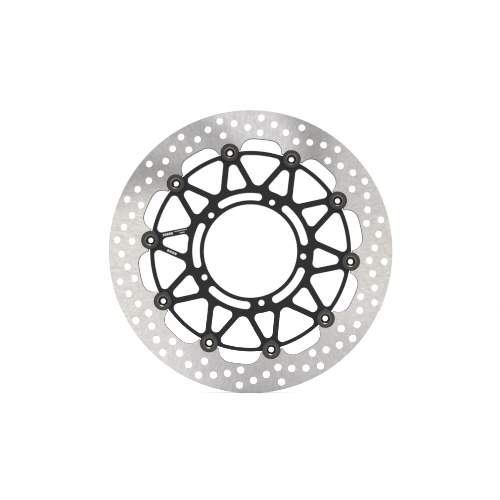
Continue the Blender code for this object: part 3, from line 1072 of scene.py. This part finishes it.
@dataclass
class BobbinSets:
    """The ten bobbins, each with its flat washer, wave washer and circlip.

    Attributes:
        layout: Sizes shared with the other pieces.
        shank: Radius of a bobbin's shank.
        flange: Radius of its flange.
        flange_chamfer: Chamfer at the flange's rim.
        bore: Radius of the through hole.
        counterbore: Width and depth of the step round the hole.
        counterbore_corner: Slope between the step's wall and its floor.
        chamfer: Size of the chamfer outside that step.
        ring_groove: Inner radius, width and depth of the shallow ring on the flange.
        gap: Running gap between neighbouring pieces.
        groove_depth: Depth of the circlip's groove.
        washer_width: Radial width of both washers.
        waves: Number of waves round the wave washer.
        wave_stock: Thickness of the wave washer's strip.
        clip_width: Radial width of the circlip beside its ears and opposite its mouth.
        clip_steps: Steps along each half of the circlip's outer edge.
        mouth: Half the angle of the circlip's mouth.
        ear: Angle that a circlip's ear takes.
        eye: Radius of the hole in an ear.
        soft: Rounding of the turned corners.
        bobbin_tone_and_painted_light: Share of a bobbin's colour by radius: painted shade in the bore
            and counterbore, a painted highlight on the chamfer ring, the flange's own tone, and painted
            shade at its rim.
        pieces: The built pieces of each kind.
    """

    layout: Layout
    shank: float = 0.0070
    flange: float = 0.01045
    flange_chamfer: float = 0.00055
    bore: float = 0.0030
    counterbore: tuple[float, float] = (0.0018, 0.0035)
    counterbore_corner: float = 0.0009
    chamfer: float = 0.0013
    ring_groove: tuple[float, float, float] = (0.0079, 0.00035, 0.00010)
    gap: float = 0.0003
    groove_depth: float = 0.0008
    washer_width: float = 0.0026
    waves: int = 3
    wave_stock: float = 0.0004
    clip_width: tuple[float, float] = (0.0011, 0.0020)
    clip_steps: int = 60
    mouth: float = math.radians(28)
    ear: float = math.radians(15)
    eye: float = 0.00045
    soft: float = 0.00012
    # Painted light: a darker bore and counterbore (painted shade), a much lighter chamfer ring (painted
    # highlight) and a darker flange rim (painted shade), with the flange's own tone between.
    bobbin_tone_and_painted_light: tuple[tuple[float, float], ...] = (
        (0.0, 0.40), (0.0048, 0.40), (0.0051, 2.6), (0.0060, 2.6), (0.0064, 1.00), (0.0075, 0.87),
        (0.0093, 0.84), (0.0099, 0.40),
    )
    pieces: dict[str, list[bpy.types.Object]] = field(default_factory=dict)

    def local_depths(self, kind: str) -> tuple[float, float]:
        """Return the front and back depth of a kind of piece."""
        low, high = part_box(f"{kind}_01")
        return low.y, high.y

    def bobbin_mesh(self) -> bpy.types.Mesh:
        """Build a bobbin: flange, counterbore, shank, circlip groove and tail."""
        front, tail = self.local_depths("bobbin")
        clip_front, clip_back = self.local_depths("circlip")
        step_width, step_depth = self.counterbore
        ring, ring_width, ring_depth = self.ring_groove
        step = self.bore + step_width
        flange_back = -max(self.layout.band_half, self.layout.carrier_half) - self.gap
        groove = self.shank - self.groove_depth
        step_floor = front + step_depth
        profile = [
            (self.bore, tail), (self.bore, step_floor),
            (step - self.counterbore_corner, step_floor), (step, step_floor - self.counterbore_corner),
            (step, front + self.chamfer), (step + self.chamfer, front),
            (ring, front), (ring, front + ring_depth),
            (ring + ring_width, front + ring_depth), (ring + ring_width, front),
            (self.flange - self.flange_chamfer, front), (self.flange, front + self.flange_chamfer),
            (self.flange, flange_back), (self.shank, flange_back),
            (self.shank, clip_front - self.gap), (groove, clip_front - self.gap),
            (groove, clip_back + self.gap), (self.shank, clip_back + self.gap), (self.shank, tail),
        ]
        return revolved("bobbin", softened(profile, self.soft))

    def washer_profile(self, front: float, back: float) -> Profile:
        """Return a washer's section, from the shank's gap to the washer's rim."""
        inner = self.shank + self.gap
        outer = inner + self.washer_width
        return softened([(inner, front), (outer, front), (outer, back), (inner, back)], self.soft)

    def flat_washer_mesh(self) -> bpy.types.Mesh:
        """Build the flat washer."""
        return revolved("flat_washer", self.washer_profile(*self.local_depths("flat_washer")))

    def wave_washer_mesh(self) -> bpy.types.Mesh:
        """Build the wave washer, a thin strip whose depth rises and falls round the ring."""
        front, back = self.local_depths("wave_washer")
        lift = (back - front - self.wave_stock) / 2
        middle = front + lift
        mesh = revolved("wave_washer", self.washer_profile(middle, middle + self.wave_stock))
        for corner in mesh.vertices:
            corner.co.y += lift * math.cos(self.waves * math.atan2(corner.co.z, corner.co.x))
        return mesh

    def circlip_mesh(self) -> bpy.types.Mesh:
        """Build the circlip: a ring that thins towards its mouth and ends in two ears with eyes."""
        front, back = self.local_depths("circlip")
        inner = self.shank - self.groove_depth + self.gap
        thin, full = self.clip_width
        ear_end = self.mouth + self.ear
        outer_edge = axis_arc(inner + full, self.mouth, ear_end)
        for number in range(1, self.clip_steps + 1):
            share = number / self.clip_steps
            width = thin + (full - thin) * math.sin(share * math.pi / 2)
            outer_edge.append(polar(inner + width, ear_end + (math.pi - ear_end) * share))
        outline = outer_edge + mirrored(outer_edge[:-1])
        outline += axis_arc(inner, FULL_TURN - self.mouth, self.mouth)
        cuts = [(outline, Zone.FACE)]
        for sign in (1, -1):
            eye_centre = polar(inner + full / 2, sign * (self.mouth + self.ear / 2))
            cuts.append((circle(eye_centre, self.eye), Zone.FACE))
        return Plate(front, back, self.soft).mesh("circlip", cuts)

    def build(self) -> None:
        """Build every set in place of its plain solids."""
        meshes = {
            "bobbin": self.bobbin_mesh(),
            "flat_washer": self.flat_washer_mesh(),
            "wave_washer": self.wave_washer_mesh(),
            "circlip": self.circlip_mesh(),
        }
        for number, angle in enumerate(self.layout.bobbin_angles, start=1):
            label = f"{number:02d}"
            centre = polar(self.layout.bobbin_radius, angle)
            for kind, mesh in meshes.items():
                name, body = f"{kind}_detail_{label}", f"bobbin_set_{label}"
                piece = place(name, mesh, body, f"{kind}_{label}")
                piece.location = (centre.x, 0, centre.y)
                piece.rotation_euler = (0, -angle, 0)
                self.pieces.setdefault(kind, []).append(piece)

    def dress(self, effects: Effects) -> None:
        """Give the bobbins their dark anodised finish, with painted shade and a painted highlight by
        radius, and the trim its spring steel.
        """
        finishes = {
            "bobbin": TurnedMetal((0.052, 0.049, 0.045), (0.24, 0.36), tone_and_painted_light=self.bobbin_tone_and_painted_light),
            "flat_washer": TurnedMetal((0.42, 0.41, 0.39), (0.30, 0.45)),
            "wave_washer": TurnedMetal((0.26, 0.25, 0.25), (0.26, 0.40)),
            "circlip": TurnedMetal((0.09, 0.09, 0.10), (0.32, 0.48)),
        }
        for kind, finish in finishes.items():
            shared_mesh = self.pieces[kind][0].data
            shared_mesh.materials.append(finish.material(f"{kind}_finish", effects))


# --- Studio -------------------------------------------------------------------------------


@dataclass
class Studio:
    """The pale floor, the soft light and the camera.

    Attributes:
        layout: Sizes of the disc, which stands on the floor.
        floor_half_width: Half the floor's side.
        camera_place: Where the camera stands.
        camera_aim: The point that it looks at.
        lens: Focal length in millimetres.
        filter_width: Width of the picture's filter, which sets how crisp its edges are.
        horizon: Light from the sides.
        zenith: Light from straight above, without the lamp.
        key: Light of the broad overhead lamp.
        key_spread: Angle across the overhead lamp.
        key_tilt: Angle by which it leans towards the outboard side.
        key_lean: Angle by which it leans to the right.
    """

    layout: Layout
    floor_half_width: float = 12.0
    camera_place: tuple[float, float, float] = (0.01682, -1.28158, -0.05805)
    camera_aim: tuple[float, float, float] = (-0.00054, 0.0, 0.00106)
    lens: float = 81.61
    filter_width: float = 1.15
    horizon: float = 0.92
    zenith: float = 1.35
    key: float = 3.6
    key_spread: float = math.radians(34)
    key_tilt: float = math.radians(3)
    key_lean: float = math.radians(9)

    def build_floor(self) -> None:
        """Lay the floor under the disc's edge."""
        floor_shape = bmesh.new()
        bmesh.ops.create_grid(floor_shape, x_segments=8, y_segments=8, size=self.floor_half_width)
        drop = (0, 0, -self.layout.disc_radius)
        bmesh.ops.translate(floor_shape, verts=floor_shape.verts[:], vec=drop)
        mesh = bpy.data.meshes.new("floor")
        floor_shape.to_mesh(mesh)
        floor_shape.free()
        floor = bpy.data.objects.new("floor", mesh)
        bpy.context.scene.collection.objects.link(floor)
        mesh.materials.append(PaleFloor().material("pale_floor"))

    def build_light(self) -> None:
        """Set the white surroundings and the broad lamp overhead."""
        world = bpy.data.worlds.new("studio")
        world.use_nodes = True
        bpy.context.scene.world = world
        graph = Graph(world.node_tree)
        generated = graph.add("TexCoord").outputs["Generated"]
        direction = graph.add("SeparateXYZ", {"Vector": generated})
        glow = graph.spread(direction.outputs["Z"], self.horizon, self.zenith)
        seen = graph.add("LightPath").outputs["Is Camera Ray"]
        level = graph.maths("MAXIMUM", glow, seen)
        background = world.node_tree.nodes["Background"]
        background.inputs["Color"].default_value = (1, 1, 1, 1)
        graph.tree.links.new(level, background.inputs["Strength"])
        lamp = bpy.data.lights.new("overhead_lamp", "SUN")
        lamp.energy = self.key
        lamp.angle = self.key_spread
        overhead = bpy.data.objects.new("overhead_lamp", lamp)
        overhead.rotation_euler = (self.key_tilt, self.key_lean, 0)
        bpy.context.scene.collection.objects.link(overhead)
        bpy.context.scene.view_settings.view_transform = "Standard"

    def build_camera(self) -> None:
        """Set the camera in front of the disc, a little below its axis."""
        data = bpy.data.cameras.new("camera")
        data.lens = self.lens
        data.clip_start, data.clip_end = 0.05, 100
        camera = bpy.data.objects.new("camera", data)
        camera.location = self.camera_place
        sight = Vector(self.camera_aim) - Vector(self.camera_place)
        camera.rotation_euler = sight.to_track_quat("-Z", "Y").to_euler()
        bpy.context.scene.collection.objects.link(camera)
        bpy.context.scene.camera = camera
        bpy.context.scene.cycles.filter_width = self.filter_width


def main() -> None:
    """Build the disc and its studio."""
    logging.basicConfig(level=logging.INFO, format="%(name)s: %(message)s")
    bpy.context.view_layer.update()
    layout = Layout.from_frame()
    effects = Effects()

    band = FrictionBand(layout)
    band.dress(band.build(), effects)
    carrier = Carrier(layout)
    carrier.dress(carrier.build(), effects)
    sets = BobbinSets(layout)
    sets.build()
    sets.dress(effects)

    studio = Studio(layout)
    studio.build_floor()
    studio.build_light()
    studio.build_camera()


if __name__ == "__main__":
    main()
